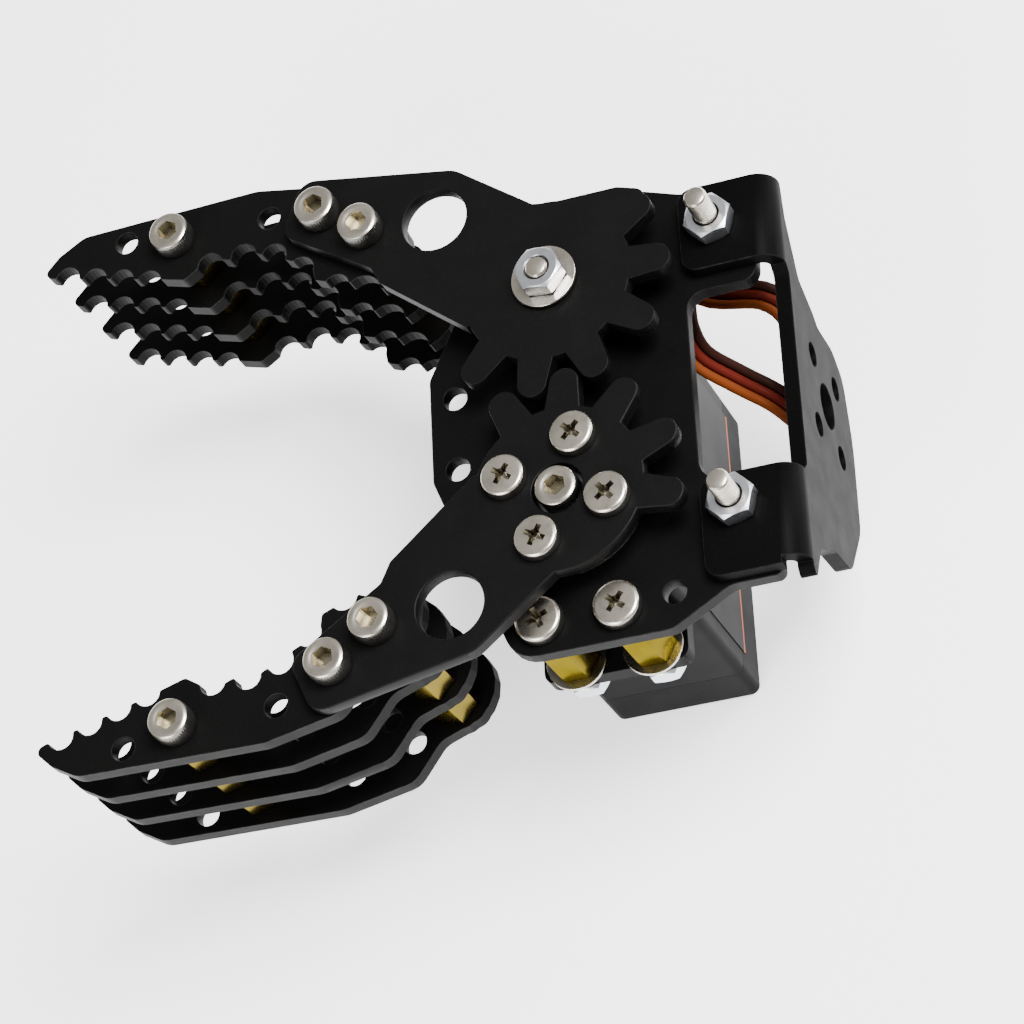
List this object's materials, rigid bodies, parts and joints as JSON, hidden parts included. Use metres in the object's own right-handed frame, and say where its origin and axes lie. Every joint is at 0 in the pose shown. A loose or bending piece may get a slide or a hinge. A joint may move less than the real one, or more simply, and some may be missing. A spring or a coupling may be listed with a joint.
{
  "type": "robot arm gripper",
  "caption": "Geared two-jaw claw for a small desktop robot arm, driven by a hobby servo, with toothed stacked-plate fingers and a bolt-on wrist bracket.",
  "frame": {"origin": "centre of the wrist hole circle, on the rear face of the upright bracket plate", "axes": "+X towards the fingertips, +Y towards the servo-driven jaw, +Z along the base plate's normal, away from the servo"},
  "size_m": [0.0998, 0.0914, 0.0515],
  "materials": {
    "black_plate": "satin",
    "nickel_steel": "satin",
    "zinc_steel": "satin",
    "brass_hex": "satin",
    "servo_plastic": "matte",
    "horn_alloy": "satin",
    "motor_steel": "satin",
    "board_green": "gloss",
    "label_film": "satin",
    "grommet_rubber": "matte",
    "lead_insulation": "satin",
    "plug_plastic": "matte"
  },
  "bodies": {
    "frame": {"base_plate": "black_plate", "rear_bracket": "black_plate", "bracket_bolts": "nickel_steel", "bracket_nuts": "zinc_steel", "ear_screws": "nickel_steel", "ear_standoffs": "brass_hex", "ear_washers": "nickel_steel", "ear_nuts": "zinc_steel", "servo_case_upper": "servo_plastic", "servo_case_middle": "servo_plastic", "servo_case_lower": "servo_plastic", "servo_case_screws": "nickel_steel", "servo_shaft_bearing": "motor_steel", "servo_motor": "motor_steel", "servo_motor_pinion": "brass_hex", "servo_circuit_board": "board_green", "servo_position_sensor": "board_green", "servo_lead_grommet": "grommet_rubber", "servo_blank_label": "label_film", "idler_bolt": "nickel_steel", "idler_spacer": "brass_hex", "idler_washer": "nickel_steel", "idler_nut": "zinc_steel", "lead_tube": "lead_insulation", "lead_hank": "lead_insulation", "lead_tie": "plug_plastic", "lead_plug": "plug_plastic"},
    "driven_jaw": {"servo_output_shaft": "motor_steel", "servo_horn": "horn_alloy", "horn_centre_screw": "nickel_steel", "horn_screws": "nickel_steel", "driven_gear_link": "black_plate", "driven_plate_1": "black_plate", "driven_plate_2": "black_plate", "driven_plate_3": "black_plate", "driven_plate_4": "black_plate", "driven_spacers": "brass_hex", "driven_short_screw": "nickel_steel", "driven_long_bolts": "nickel_steel", "driven_nuts": "zinc_steel"},
    "idler_jaw": {"idler_gear_link": "black_plate", "idler_bush": "brass_hex", "idler_plate_1": "black_plate", "idler_plate_2": "black_plate", "idler_plate_3": "black_plate", "idler_plate_4": "black_plate", "idler_spacers": "brass_hex", "idler_short_screw": "nickel_steel", "idler_long_bolts": "nickel_steel", "idler_nuts": "zinc_steel"}
  },
  "joints": [
    {"name": "driven_jaw_pivot", "type": "hinge", "parent": "frame", "child": "driven_jaw", "pos_m": [0.029, 0.0146, 0.015], "axis": [0, 0, 1], "range_deg": [-26.5, 12]},
    {"name": "idler_jaw_pivot", "type": "hinge", "parent": "frame", "child": "idler_jaw", "pos_m": [0.029, -0.0146, 0.015], "axis": [0, 0, 1], "range_deg": [-12, 26.5]}
  ],
  "couplings": [
    {"joint": "idler_jaw_pivot", "follows": "driven_jaw_pivot", "ratio": -1}
  ]
}
